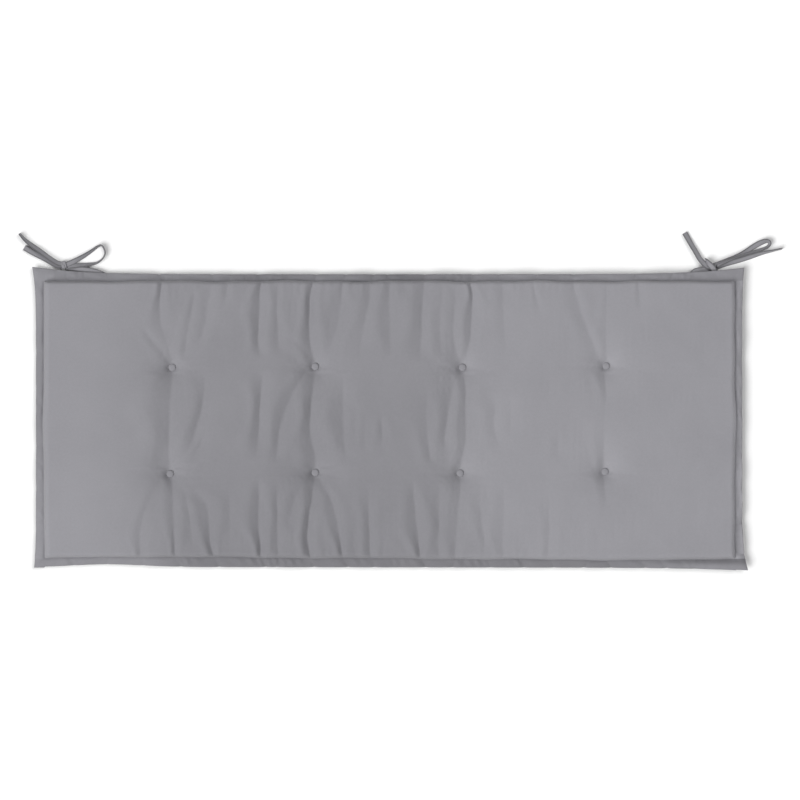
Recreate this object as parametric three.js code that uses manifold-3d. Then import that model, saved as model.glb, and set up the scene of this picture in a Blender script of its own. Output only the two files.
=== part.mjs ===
// A buttoned bench cushion: one filled pad inside a flat sewn flange, eight covered buttons that
// draw its top down, and a knotted fabric tie at each end of the back edge.
// Millimetres, +Z up. The origin is the middle of the flat underside, on the surface it lies on.
// +X runs along the bench and +Y towards the back edge, which carries the ties.
import * as THREE from "three";
import { mergeVertices } from "three/addons/utils/BufferGeometryUtils.js";
import Module from "manifold-3d";

// Filled panel, measured to the seam that runs round it.
const SEAM_HALF_X = 582;
const SEAM_HALF_Y = 233.5;
const CROWN_Z = 32;
const SEAM_Z = { middle: 17, corner: 14.5, tilt: 1.8 }; // tilt: so much higher at the right end, lower at the left
const ROLL_RUN = 9; // how far in from the seam the filling reaches its full height
const ROLL_POWER = 2.2; // 2 is a round edge, more is a fuller one

// The seam isn't sewn quite square: its front side runs out to the right, its left side bows out.
const FRONT_SLANT = 4.2;
const LEFT_BOW = { middle: 4, end: 1.8 };
const DRIFT_RUN = 9; // how far into the panel the cloth follows a straying seam

// Flange: how far it reaches out past the seam at the middle of a side and at that side's two corners.
const FLANGE_REACH = {
  back: { middle: 11, left: 23.5, right: 22 },
  front: { middle: 14.5, left: 15, right: 19.5 },
  left: { middle: 14.5, front: 17.5, back: 21 },
  right: { middle: 10.2, front: 20, back: 13.4 },
};
const FLANGE_RIM_Z = { middle: 14, corner: 13.5, tilt: 3 };
const FLANGE_DEEP = 2.6;
const FLARE_POWER = { long: 7, short: 8 }; // the flare towards the corners starts late along a side
const RIM_WAVES = [
  { long: 128, high: 1.2, shift: 0.4 },
  { long: 73, high: 0.8, shift: 2.1 },
];
const FRONT_RIM = { notchX: -475, notchWide: 80, notchDeep: 4.6, slant: 0.9 }; // drawn in near its left end

// Underside: flat inside the last inset, rolling up to the flange outside it.
const UNDER_SEAM = 4; // the flange's lower layer joins the pad this far inside the seam above
const UNDERSIDE_RINGS = [
  { inset: 9, lift: 0.3 },
  { inset: 26, lift: 0 },
];

const BUTTON_RADIUS = 6.8;
const BUTTON_SIDES = 14;
// A button's half section, flat below and domed above, as shares of its radius.
const BUTTON_PROFILE = [
  { out: 0, up: 0 },
  { out: 0.8, up: 0 },
  { out: 0.97, up: 0.06 },
  { out: 1, up: 0.16 },
  { out: 0.94, up: 0.33 },
  { out: 0.7, up: 0.5 },
  { out: 0.38, up: 0.57 },
  { out: 0, up: 0.59 },
];
const BUTTON_SEAT_Z = 17;
const SEAT_HALF = 10; // half the side of the flat bottom of a dimple
const SEAT_ROOM = 2.5; // how far a button strays from its row and column
const DIMPLE_RUN = 17; // how fast the dimple rises to the crown
const GAP = 0.3;
const BUTTONS = [
  { name: "button_back_1", x: -367.5, y: 88 },
  { name: "button_back_2", x: -126.5, y: 89.5 },
  { name: "button_back_3", x: 121.5, y: 88 },
  { name: "button_back_4", x: 363.5, y: 90.5 },
  { name: "button_front_1", x: -371, y: -91 },
  { name: "button_front_2", x: -126.5, y: -89 },
  { name: "button_front_3", x: 117.5, y: -90 },
  { name: "button_front_4", x: 361.5, y: -87.5 },
];

// Folds in the cover: where each starts and ends, how far it bows to +X, how wide and deep it is.
const FOLDS = [
  { x: -416, y: 155, toX: -376, toY: 101, bow: 0, width: 9, depth: 3 },
  { x: -384, y: 230, toX: -371, toY: 99, bow: -8, width: 9, depth: 4 },
  { x: -305, y: 218, toX: -330, toY: 112, bow: 2, width: 10, depth: 3.5 },
  { x: -218, y: 230, toX: -224, toY: 106, bow: -3, width: 10, depth: 5 },
  { x: -187, y: 218, toX: -191, toY: 114, bow: 0, width: 9, depth: 2.5 },
  { x: -130, y: 230, toX: -128, toY: 101, bow: -11, width: 10, depth: 6 },
  { x: -81, y: 230, toX: -118, toY: 106, bow: 5, width: 10, depth: 3.5 },
  { x: -34, y: 229, toX: -54, toY: 111, bow: 5, width: 10, depth: 3.5 },
  { x: 0, y: 229, toX: 1, toY: 107, bow: 0, width: 10, depth: 3 },
  { x: 53, y: 229, toX: 44, toY: 104, bow: 0, width: 10, depth: 4 },
  { x: 101, y: 222, toX: 117, toY: 99, bow: 2, width: 9, depth: 3 },
  { x: 134, y: 229, toX: 128, toY: 101, bow: 7, width: 9, depth: 4.5 },
  { x: 187, y: 229, toX: 195, toY: 107, bow: 0, width: 10, depth: 2 },
  { x: 303, y: 227, toX: 357, toY: 99, bow: -3, width: 10, depth: 3 },
  { x: -369, y: 77, toX: -371, toY: -80, bow: -5, width: 13, depth: 3.5 },
  { x: -312, y: 74, toX: -351, toY: -68, bow: 4, width: 10, depth: 3 },
  { x: -218, y: 74, toX: -228, toY: -64, bow: 2, width: 10, depth: 3.5 },
  { x: -147, y: 77, toX: -191, toY: -68, bow: -10, width: 10, depth: 4 },
  { x: -128, y: 74, toX: -130, toY: -78, bow: -9, width: 12, depth: 4 },
  { x: -80, y: 67, toX: -75, toY: -75, bow: -3, width: 12, depth: 3 },
  { x: 109, y: 67, toX: 89, toY: -54, bow: -3, width: 10, depth: 3 },
  { x: 124, y: 74, toX: 119, toY: -80, bow: 3, width: 12, depth: 3.5 },
  { x: 362, y: 74, toX: 360, toY: -73, bow: 0, width: 14, depth: 2 },
  { x: -368, y: -105, toX: -361, toY: -231, bow: 0, width: 10, depth: 3.5 },
  { x: -322, y: -115, toX: -297, toY: -231, bow: 7, width: 10, depth: 4.5 },
  { x: -219, y: -105, toX: -218, toY: -233, bow: 0, width: 10, depth: 5 },
  { x: -187, y: -110, toX: -187, toY: -229, bow: 0, width: 9, depth: 2.5 },
  { x: -128, y: -98, toX: -137, toY: -233, bow: -7, width: 10, depth: 6 },
  { x: -107, y: -115, toX: -81, toY: -233, bow: 5, width: 9, depth: 4 },
  { x: -32, y: -118, toX: -32, toY: -233, bow: 0, width: 10, depth: 3 },
  { x: 38, y: -110, toX: 52, toY: -233, bow: 3, width: 10, depth: 4.5 },
  { x: 84, y: -115, toX: 80, toY: -213, bow: 0, width: 10, depth: 2.5 },
  { x: 119, y: -101, toX: 111, toY: -233, bow: 0, width: 12, depth: 3.5 },
  { x: 192, y: -115, toX: 188, toY: -229, bow: 0, width: 10, depth: 2 },
];
const FOLD_END = 0.16; // share of a fold's length over which it fades in and out
const RIDGE_SHARE = 0.35; // height of the ridges beside a fold, as a share of its depth

// Where the cover's grid is close and where it is open: the folds lie between X -430 and 215.
const COLUMN_ZONES = [
  { from: -545, to: -430, step: 23 },
  { from: -430, to: 215, step: 8.5 },
  { from: 215, to: 545, step: 22 },
];
const ROW_ZONES = [
  { from: -206, to: -99, step: 35 },
  { from: -79, to: 79, step: 39 },
  { from: 99, to: 206, step: 35 },
];
const SEAM_INSETS = [0, 1.2, 4, 9, 26]; // grid lines that follow the steep edge of the filling

// Ties: flat strips through rows measured from the knot; z is the strip's height, lean its roll.
const TIE_WIDE = 9.5;
const TIE_THICK = 1.6;
const TIE_STEPS = 3; // sections between one row and the next
const TIES = [
  {
    name: "tie_left",
    knot: { x: -550.5, y: 261 },
    strips: {
      base: [
        { x: 0, y: -1, z: 3.6, lean: 0 },
        { x: 10, y: -4.5, z: 4.2, lean: 0 },
        { x: 28, y: -7, z: 5.4, lean: 0 },
        { x: 53, y: -9.5, z: 6.9, lean: 0 },
        { x: 72, y: -14, z: 7.25, lean: 0 },
      ],
      upperTail: [
        { x: -3, y: 1.2, z: 8.2, lean: 30 },
        { x: -12, y: 4, z: 8.8, lean: 38 },
        { x: -26, y: 13, z: 8.6, lean: 40 },
        { x: -40, y: 23.4, z: 7.6, lean: 38 },
        { x: -55, y: 34, z: 6.2, lean: 44 },
        { x: -66.5, y: 43.4, z: 5.6, lean: 60 },
        { x: -75, y: 53, z: 5.4, lean: 76 },
      ],
      lowerTail: [
        { x: -4, y: -2, z: 3.6, lean: 10 },
        { x: -14, y: 0.6, z: 3.2, lean: 10 },
        { x: -33, y: 11.4, z: 3.2, lean: 12 },
        { x: -52, y: 20.8, z: 3.3, lean: 14 },
        { x: -66.6, y: 29.4, z: 3.3, lean: 12 },
      ],
      loop: [
        { x: 4, y: 0, z: 7.5, lean: 20 },
        { x: 19, y: 6.9, z: 7.6, lean: 32 },
        { x: 34, y: 15.3, z: 6.8, lean: 52 },
        { x: 47, y: 23.7, z: 5.9, lean: 66 },
        { x: 57.5, y: 31.4, z: 5.6, lean: 76 },
        { x: 63.3, y: 33, z: 5.5, lean: 80 },
        { x: 67.6, y: 27.5, z: 5.4, lean: 80 },
        { x: 69.4, y: 19.3, z: 5.4, lean: 80 },
        { x: 65.2, y: 10.6, z: 5.4, lean: 80 },
        { x: 55.5, y: 3.6, z: 5.4, lean: 72 },
        { x: 41, y: 0.6, z: 5.7, lean: 56 },
        { x: 27, y: -0.6, z: 5.8, lean: 42 },
        { x: 7, y: -2, z: 5.4, lean: 25 },
      ],
    },
  },
  {
    name: "tie_right",
    knot: { x: 544.5, y: 258.8 },
    strips: {
      base: [
        { x: 0, y: -1, z: 3.6, lean: 0 },
        { x: -8, y: -4, z: 4.8, lean: 0 },
        { x: -18, y: -6, z: 7, lean: 0 },
        { x: -28, y: -7.6, z: 10.6, lean: 0 },
        { x: -34, y: -11, z: 12.2, lean: 0 },
        { x: -37, y: -17, z: 12.6, lean: 0 },
      ],
      upperTail: [
        { x: -3, y: -1, z: 6.4, lean: 12 },
        { x: -10, y: 0.4, z: 6.6, lean: 18 },
        { x: -20.6, y: 9.6, z: 6.6, lean: 26 },
        { x: -29.2, y: 23.8, z: 6, lean: 30 },
        { x: -38.4, y: 39.2, z: 5, lean: 28 },
        { x: -48, y: 56.4, z: 3.6, lean: 22 },
      ],
      lowerTail: [
        { x: 4, y: -2, z: 3.4, lean: 24 },
        { x: 20, y: 3.8, z: 3.2, lean: 30 },
        { x: 42, y: 9.8, z: 3.2, lean: 32 },
        { x: 62, y: 16, z: 3.6, lean: 36 },
        { x: 82, y: 22.2, z: 4.6, lean: 56 },
        { x: 102, y: 26.6, z: 5.4, lean: 76 },
        { x: 116, y: 29.8, z: 5.5, lean: 82 },
      ],
      loop: [
        { x: 3, y: 3, z: 8, lean: 60 },
        { x: 22, y: 11.6, z: 8.6, lean: 78 },
        { x: 42, y: 19.4, z: 7.6, lean: 70 },
        { x: 56, y: 26, z: 6.8, lean: 48 },
        { x: 67, y: 33, z: 6.2, lean: 38 },
        { x: 80, y: 40.6, z: 5.8, lean: 50 },
        { x: 90, y: 44.2, z: 5.6, lean: 68 },
        { x: 95.6, y: 43, z: 5.5, lean: 80 },
        { x: 96.6, y: 38, z: 5.5, lean: 80 },
        { x: 91, y: 32.4, z: 5.6, lean: 72 },
        { x: 77, y: 27.2, z: 6.6, lean: 62 },
        { x: 60, y: 21.8, z: 8, lean: 62 },
        { x: 40, y: 15.4, z: 8.8, lean: 68 },
        { x: 6, y: 1, z: 7.2, lean: 50 },
      ],
      crossing: [
        { x: -15.4, y: 14.2, z: 6.2, lean: 76 },
        { x: -11, y: 8.8, z: 9.4, lean: 52 },
        { x: -5.6, y: 2.6, z: 11.2, lean: 22 },
        { x: -0.6, y: -3.4, z: 11, lean: 6 },
        { x: 2.6, y: -8, z: 8.4, lean: 0 },
        { x: 3.6, y: -9.6, z: 4.6, lean: 0 },
      ],
    },
  },
];
// A knot is the strip pulled tight over itself: one lump with a second turn lying across it.
const KNOT_LUMPS = [
  { x: 0, y: 0, z: 6.2, halfX: 7.6, halfY: 6, halfZ: 5, turn: 20 },
  { x: 0.6, y: 0.2, z: 7, halfX: 3.6, halfY: 6.7, halfZ: 5.2, turn: -30 },
];

const COVER_COLOR = 0x98979c;
const BUTTON_COLOR = 0x8f8e94;
const TIE_COLOR = 0x8d8c92;

const { clamp, degToRad, lerp, smoothstep } = THREE.MathUtils;

// Between a value at the middle of a side and one at its corner; along is -1 to 1 down the side.
const towardsCorner = (middle, corner, along, power) => lerp(middle, corner, Math.abs(along) ** power);

// Share of the crown that the filling has reached this far in from one seam.
function roll(inset) {
  const left = clamp(1 - inset / ROLL_RUN, 0, 1);
  return (1 - left ** ROLL_POWER) ** (1 / ROLL_POWER);
}

function foldDepth(fold, x, y) {
  const run = new THREE.Vector2(fold.toX - fold.x, fold.toY - fold.y);
  const long = run.length();
  const along = ((x - fold.x) * run.x + (y - fold.y) * run.y) / long ** 2;
  const across = ((x - fold.x) * -run.y + (y - fold.y) * run.x) / long;
  const bow = fold.bow * 4 * along * (1 - along);
  const off = Math.abs(across - bow) / fold.width;
  const fade = smoothstep(along, -FOLD_END, FOLD_END) * (1 - smoothstep(along, 1 - FOLD_END, 1 + FOLD_END));
  return fold.depth * fade * (Math.exp(-(off ** 2)) - RIDGE_SHARE * Math.exp(-((off - 1.9) ** 2)));
}

// A dimple has a flat bottom for its button, then rises to the crown all round.
function dimpleShare(button, x, y) {
  const outX = Math.max(Math.abs(x - button.x) - SEAT_HALF - SEAT_ROOM, 0);
  const outY = Math.max(Math.abs(y - button.y) - SEAT_HALF - SEAT_ROOM, 0);
  return Math.exp(-Math.hypot(outX, outY) / DIMPLE_RUN);
}

function seamHeight(x, y) {
  const along = Math.min(Math.abs(x) / SEAM_HALF_X, Math.abs(y) / SEAM_HALF_Y);
  return towardsCorner(SEAM_Z.middle, SEAM_Z.corner, along, FLARE_POWER.long) + (SEAM_Z.tilt * x) / SEAM_HALF_X;
}

// How far the straying seam carries a point of the panel with it.
function panelDrift(x, y) {
  const alongX = x / SEAM_HALF_X;
  const alongY = y / SEAM_HALF_Y;
  const bow = x < 0 ? -lerp(LEFT_BOW.middle, LEFT_BOW.end, alongY ** 2) : 0;
  const slant = y < 0 ? -FRONT_SLANT * alongX * (1 - alongX ** 6) : 0;
  return new THREE.Vector2(
    bow * Math.exp((Math.abs(x) - SEAM_HALF_X) / DRIFT_RUN),
    slant * Math.exp((Math.abs(y) - SEAM_HALF_Y) / DRIFT_RUN),
  );
}

// How far the front edge of the flange strays.
function frontRimDrift(x) {
  const notch = Math.exp(-(((x - FRONT_RIM.notchX) / FRONT_RIM.notchWide) ** 2));
  return FRONT_RIM.notchDeep * notch - (FRONT_RIM.slant * x) / SEAM_HALF_X;
}

// Top of the filled panel.
function panelTop(x, y) {
  const rise = roll(SEAM_HALF_X - Math.abs(x)) * roll(SEAM_HALF_Y - Math.abs(y));
  const dimple = Math.max(...BUTTONS.map((button) => dimpleShare(button, x, y)));
  const folds = FOLDS.reduce((sum, fold) => sum + foldDepth(fold, x, y), 0);
  const crown = lerp(CROWN_Z - folds, BUTTON_SEAT_Z, dimple);
  return lerp(seamHeight(x, y), crown, rise);
}

function rimHeight(along, place, alongX) {
  const waves = RIM_WAVES.map(({ long, high, shift }) => high * Math.sin((2 * Math.PI * place) / long + shift));
  const wave = waves.reduce((sum, height) => sum + height, 0) * (1 - Math.abs(along) ** 3);
  const level = towardsCorner(FLANGE_RIM_Z.middle, FLANGE_RIM_Z.corner, along, FLARE_POWER.long);
  return level + FLANGE_RIM_Z.tilt * alongX + wave;
}

// Grid lines over the panel, with one more at each end for the flange's rim.
function gridLines(half, zones, kept) {
  const edges = SEAM_INSETS.flatMap((inset) => [inset - half, half - inset]);
  const lines = [...edges, ...kept];
  for (const zone of zones) {
    const count = Math.round((zone.to - zone.from) / zone.step);
    for (let i = 0; i <= count; i++) {
      const at = lerp(zone.from, zone.to, i / count);
      if (lines.every((line) => Math.abs(line - at) > 0.55 * zone.step)) lines.push(at);
    }
  }
  lines.sort((a, b) => a - b);
  return [
    { at: -half, out: -1 },
    ...lines.map((at) => ({ at, out: 0 })),
    { at: half, out: 1 },
  ];
}

const mean = (values) => values.reduce((a, b) => a + b, 0) / values.length;

// The grid lines that the flat bottoms of the dimples need: three through each line of buttons.
function seatLines(groups, axis) {
  return groups.flatMap((group) => {
    const middle = mean(group.map((button) => button[axis]));
    return [middle - SEAT_HALF, middle, middle + SEAT_HALF];
  });
}

function coverPoint(column, row) {
  const alongX = column.at / SEAM_HALF_X;
  const alongY = row.at / SEAM_HALF_Y;
  if (column.out === 0 && row.out === 0) {
    const drift = panelDrift(column.at, row.at);
    return new THREE.Vector3(column.at + drift.x, row.at + drift.y, panelTop(column.at, row.at));
  }
  const sideX = alongX < 0 ? FLANGE_REACH.left : FLANGE_REACH.right;
  const sideY = alongY < 0 ? FLANGE_REACH.front : FLANGE_REACH.back;
  const cornerX = alongY < 0 ? sideX.front : sideX.back;
  const cornerY = alongX < 0 ? sideY.left : sideY.right;
  // Shares of the way to the corner's tip, which is 1.
  const tipX = (Math.abs(column.at) + Math.abs(column.out) * cornerX) / (SEAM_HALF_X + cornerX);
  const tipY = (Math.abs(row.at) + Math.abs(row.out) * cornerY) / (SEAM_HALF_Y + cornerY);
  const reachX = towardsCorner(sideX.middle, cornerX, tipY, FLARE_POWER.short);
  const reachY = towardsCorner(sideY.middle, cornerY, tipX, FLARE_POWER.long);
  const along = row.out === 0 ? alongY : alongX;
  const place = row.out === 0 ? row.at : column.at + 200 * row.out;
  const drift = row.out < 0 && column.out === 0 ? frontRimDrift(column.at) : 0;
  return new THREE.Vector3(
    column.at + column.out * reachX,
    row.at + row.out * reachY + drift,
    rimHeight(along, place, alongX),
  );
}

function padGeometry() {
  const perColumn = [0, 1, 2, 3].map((i) => [BUTTONS[i], BUTTONS[i + 4]]);
  const perRow = [BUTTONS.slice(0, 4), BUTTONS.slice(4)];
  const columns = gridLines(SEAM_HALF_X, COLUMN_ZONES, seatLines(perColumn, "x"));
  const rows = gridLines(SEAM_HALF_Y, ROW_ZONES, seatLines(perRow, "y"));
  const points = rows.flatMap((row) => columns.map((column) => coverPoint(column, row)));
  const at = (i, j) => j * columns.length + i;
  const faces = [];

  // Top: each quad is split along the diagonal that follows the cloth.
  for (let j = 0; j + 1 < rows.length; j++) {
    for (let i = 0; i + 1 < columns.length; i++) {
      const [a, b, c, d] = [at(i, j), at(i + 1, j), at(i + 1, j + 1), at(i, j + 1)];
      const levelAC = Math.abs(points[a].z - points[c].z);
      const levelBD = Math.abs(points[b].z - points[d].z);
      if (levelAC < levelBD) faces.push(a, b, c, a, c, d);
      else faces.push(a, b, d, b, c, d);
    }
  }

  // The rim, anticlockwise from the front left corner.
  const lastI = columns.length - 1;
  const lastJ = rows.length - 1;
  const rim = [];
  for (let i = 0; i < lastI; i++) rim.push([i, 0]);
  for (let j = 0; j < lastJ; j++) rim.push([lastI, j]);
  for (let i = lastI; i > 0; i--) rim.push([i, lastJ]);
  for (let j = lastJ; j > 0; j--) rim.push([0, j]);

  // Underside: down the rim's edge, in under the flange to the seam, then round to the flat.
  let outer = rim.map(([i, j]) => at(i, j));
  const addRing = (ring) => {
    const inner = ring.map((point) => points.push(point) - 1);
    for (let k = 0; k < rim.length; k++) {
      const next = (k + 1) % rim.length;
      faces.push(outer[k], inner[k], inner[next], outer[k], inner[next], outer[next]);
    }
    outer = inner;
  };
  addRing(outer.map((index) => points[index].clone().setZ(points[index].z - FLANGE_DEEP)));
  const under = rim.map(([i, j]) => {
    const place = points[at(i, j)];
    const corner = points[at(place.x < 0 ? 0 : lastI, place.y < 0 ? 0 : lastJ)];
    const halfX = SEAM_HALF_X - UNDER_SEAM;
    const halfY = SEAM_HALF_Y - UNDER_SEAM;
    const x = columns[i].out === 0 ? (place.x * halfX) / Math.abs(corner.x) : columns[i].out * halfX;
    const y = rows[j].out === 0 ? (place.y * halfY) / Math.abs(corner.y) : rows[j].out * halfY;
    return new THREE.Vector3(x, y, seamHeight(x, y) - FLANGE_DEEP);
  });
  addRing(under);
  for (const { inset, lift } of UNDERSIDE_RINGS) {
    const shareX = 1 - inset / SEAM_HALF_X;
    const shareY = 1 - inset / SEAM_HALF_Y;
    addRing(under.map((p) => new THREE.Vector3(p.x * shareX, p.y * shareY, p.z * lift)));
  }
  const middle = points.push(new THREE.Vector3(0, 0, 0)) - 1;
  outer.forEach((index, k) => faces.push(index, middle, outer[(k + 1) % outer.length]));

  return new THREE.BufferGeometry().setFromPoints(points).setIndex(faces);
}

function buttonGeometry(button) {
  const profile = BUTTON_PROFILE.map(({ out, up }) => new THREE.Vector2(out, up).multiplyScalar(BUTTON_RADIUS));
  return new THREE.LatheGeometry(profile, BUTTON_SIDES)
    .rotateX(Math.PI / 2)
    .translate(button.x, button.y, BUTTON_SEAT_Z + GAP);
}

// A flat strip swept along a smooth line through its rows, with closed square ends.
function stripGeometry(rows, knot) {
  const line = new THREE.CatmullRomCurve3(
    rows.map((row) => new THREE.Vector3(knot.x + row.x, knot.y + row.y, row.z)),
  );
  const up = new THREE.Vector3(0, 0, 1);
  const steps = (rows.length - 1) * TIE_STEPS;
  const points = [];
  const faces = [];
  for (let s = 0; s <= steps; s++) {
    const place = s / TIE_STEPS;
    const row = Math.min(Math.floor(place), rows.length - 2);
    const lean = degToRad(lerp(rows[row].lean, rows[row + 1].lean, place - row));
    const middle = line.getPoint(s / steps);
    const tangent = line.getTangent(s / steps);
    const level = new THREE.Vector3().crossVectors(tangent, up).normalize();
    const across = level.clone().applyAxisAngle(tangent, lean).multiplyScalar(TIE_WIDE / 2);
    const through = tangent.clone().cross(across).setLength(TIE_THICK / 2);
    const first = points.length;
    points.push(
      middle.clone().add(across).add(through),
      middle.clone().sub(across).add(through),
      middle.clone().sub(across).sub(through),
      middle.clone().add(across).sub(through),
    );
    if (s === 0) continue;
    for (let k = 0; k < 4; k++) {
      const n = (k + 1) % 4;
      const [a, b, c, d] = [first - 4 + k, first - 4 + n, first + n, first + k];
      faces.push(a, b, c, a, c, d);
    }
  }
  const end = points.length - 4;
  faces.push(0, 2, 1, 0, 3, 2);
  faces.push(end, end + 1, end + 2, end, end + 2, end + 3);
  return new THREE.BufferGeometry().setFromPoints(points).setIndex(faces);
}

function lumpGeometry(lump, knot) {
  return new THREE.SphereGeometry(1, 10, 7)
    .scale(lump.halfX, lump.halfY, lump.halfZ)
    .rotateZ(degToRad(lump.turn))
    .translate(knot.x + lump.x, knot.y + lump.y, lump.z);
}

const wasm = await Module();
wasm.setup();

// One closed surface: shared corners merged and collapsed faces dropped.
function welded(geometry) {
  geometry.deleteAttribute("normal");
  geometry.deleteAttribute("uv");
  const merged = mergeVertices(geometry, 1e-3);
  const kept = [];
  for (let i = 0; i < merged.index.count; i += 3) {
    const [a, b, c] = merged.index.array.slice(i, i + 3);
    if (a !== b && b !== c && c !== a) kept.push(a, b, c);
  }
  return merged.setIndex(kept);
}

function solidOf(geometry) {
  const closed = welded(geometry);
  const mesh = new wasm.Mesh({
    numProp: 3,
    vertProperties: closed.attributes.position.array,
    triVerts: new Uint32Array(closed.index.array),
  });
  return new wasm.Manifold(mesh);
}

function geometryOf(solid) {
  const mesh = solid.getMesh();
  return new THREE.BufferGeometry()
    .setAttribute("position", new THREE.BufferAttribute(mesh.vertProperties, 3))
    .setIndex(new THREE.BufferAttribute(mesh.triVerts, 1));
}

function tieGeometry(tie) {
  const strips = Object.values(tie.strips).map((rows) => solidOf(stripGeometry(rows, tie.knot)));
  const lumps = KNOT_LUMPS.map((lump) => solidOf(lumpGeometry(lump, tie.knot)));
  return geometryOf([...lumps, ...strips].reduce((whole, piece) => whole.add(piece)));
}

const cushion = new THREE.Group();
cushion.name = "bench_cushion";

function addPiece(name, geometry, color) {
  const material = new THREE.MeshStandardMaterial({ color, roughness: 0.95, metalness: 0 });
  const piece = new THREE.Mesh(geometry, material);
  piece.name = name;
  cushion.add(piece);
}

addPiece("pad", padGeometry(), COVER_COLOR);
for (const button of BUTTONS) addPiece(button.name, welded(buttonGeometry(button)), BUTTON_COLOR);
for (const tie of TIES) addPiece(tie.name, tieGeometry(tie), TIE_COLOR);

export default cushion;
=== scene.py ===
import math

import bpy
import numpy as np
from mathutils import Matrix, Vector


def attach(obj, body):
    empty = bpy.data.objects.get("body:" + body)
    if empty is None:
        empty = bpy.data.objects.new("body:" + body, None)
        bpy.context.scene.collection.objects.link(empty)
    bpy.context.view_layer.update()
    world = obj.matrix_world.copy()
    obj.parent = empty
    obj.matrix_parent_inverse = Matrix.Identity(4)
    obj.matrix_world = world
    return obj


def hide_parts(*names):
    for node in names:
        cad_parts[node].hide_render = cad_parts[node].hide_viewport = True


# Bench cushion: buttoned pad with a sewn flange, eight covered buttons and two knotted ties.
# Metres, same frame as the solids; tables are in millimetres and go through mm.

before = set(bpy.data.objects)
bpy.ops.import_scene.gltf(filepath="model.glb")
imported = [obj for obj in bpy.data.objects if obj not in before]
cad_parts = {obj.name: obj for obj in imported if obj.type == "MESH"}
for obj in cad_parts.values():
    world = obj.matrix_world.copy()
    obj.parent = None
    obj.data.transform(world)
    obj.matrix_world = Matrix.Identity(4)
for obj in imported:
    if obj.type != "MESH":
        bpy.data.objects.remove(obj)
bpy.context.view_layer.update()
scene = bpy.context.scene
mm = 0.001
print("frame loaded,", len(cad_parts), "nodes")


def addObject(name, data):
    made = bpy.data.objects.new(name, data)
    scene.collection.objects.link(made)
    return made


def addShape(name, points, edges, faces, material=None):
    mesh = bpy.data.meshes.new(name)
    mesh.from_pydata(points, edges, faces)
    mesh.shade_smooth()
    if material:
        mesh.materials.append(material)
    return addObject(name, mesh)


# camera straight above the buttoned face
cameraSetup = {
    "pictureWidth": 1.3472,  # metres across the picture at the cushion
    "aim": (0.0164, 0.0333, 0.02),
    "lens": 300,  # long, as the picture shows no vanishing
    "sensor": 36,
    "sight": 50,
}


def makeCamera(setup):
    data = bpy.data.cameras.new("benchCamera")
    data.lens = setup["lens"]
    data.sensor_width = setup["sensor"]
    data.clip_end = setup["sight"]
    away = setup["pictureWidth"] * setup["lens"] / setup["sensor"]
    scene.camera = addObject("benchCamera", data)
    scene.camera.location = Vector(setup["aim"]) + Vector((0, 0, away))  # unturned, it looks straight down


makeCamera(cameraSetup)


# soft studio light: a broad key from the front left, a weaker one facing it, and white surroundings
lampSetups = {  # degrees round from +X and above the floor
    "keyLight": {"heading": 213, "height": 50, "power": 3.05, "softness": 42},
    "fillLight": {"heading": 33, "height": 61, "power": 1.35, "softness": 30},
}
surroundings = {"colour": (1, 1, 1, 1), "strength": 0.16, "lampsAway": 3}


def makeLights(lamps, around):
    for name, setup in lamps.items():
        data = bpy.data.lights.new(name, "SUN")
        data.energy = setup["power"]
        data.angle = math.radians(setup["softness"])
        turn, up = math.radians(setup["heading"]), math.radians(setup["height"])
        toLight = Vector((math.cos(turn) * math.cos(up), math.sin(turn) * math.cos(up), math.sin(up)))
        lamp = addObject(name, data)
        lamp.location = toLight * around["lampsAway"]
        lamp.rotation_euler = (-toLight).to_track_quat("-Z", "Y").to_euler()
    world = bpy.data.worlds.new("studio")
    world.use_nodes = True
    back = world.node_tree.nodes["Background"]
    back.inputs["Color"].default_value = around["colour"]
    back.inputs["Strength"].default_value = around["strength"]
    scene.world = world
    scene.view_settings.view_transform = "Standard"


makeLights(lampSetups, surroundings)
print("camera and lights made")


def plug(tree, value, socket):
    if isinstance(value, bpy.types.NodeSocket):
        tree.links.new(value, socket)
    else:
        socket.default_value = value


def addNode(tree, kind, inputs=None, **values):
    node = tree.nodes.new(kind)
    for name, value in values.items():
        setattr(node, name, value)
    for name, value in (inputs or {}).items():
        plug(tree, value, node.inputs[name])
    return node


def shade(tree, kind, inputs=None, **values):
    return addNode(tree, "ShaderNode" + kind, inputs, **values).outputs


def calc(tree, operation, *inputs):
    return shade(tree, "Math", dict(enumerate(inputs)), operation=operation)[0]


def newTree(name, kind, inputs, outputs):
    tree = bpy.data.node_groups.new(name, kind)
    for way, sockets in (("INPUT", inputs), ("OUTPUT", outputs)):
        for label, sort in sockets.items():
            tree.interface.new_socket(label, in_out=way, socket_type="NodeSocket" + sort)
    return tree, addNode(tree, "NodeGroupInput").outputs, addNode(tree, "NodeGroupOutput").inputs


def newMaterial(name, values):
    material = bpy.data.materials.new(name)
    material.use_nodes = True
    shader = material.node_tree.nodes["Principled BSDF"]
    for label, value in values.items():
        shader.inputs[label].default_value = value
    return material, material.node_tree, shader.inputs


def blendTones(tree, share, low, high, blend="MIX"):
    low, high = (tone if isinstance(tone, bpy.types.NodeSocket) else (*tone, 1) for tone in (low, high))
    inputs = {0: share, 6: low, 7: high}
    return shade(tree, "Mix", inputs, data_type="RGBA", blend_type=blend)[2]


# plain weave: warp and weft pass over each other like a checkerboard
weaveShape = {"wander": 0.35, "wanderScale": 160, "fibre": 0.5, "fibreScale": 900, "shade": 0.67}


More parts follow.
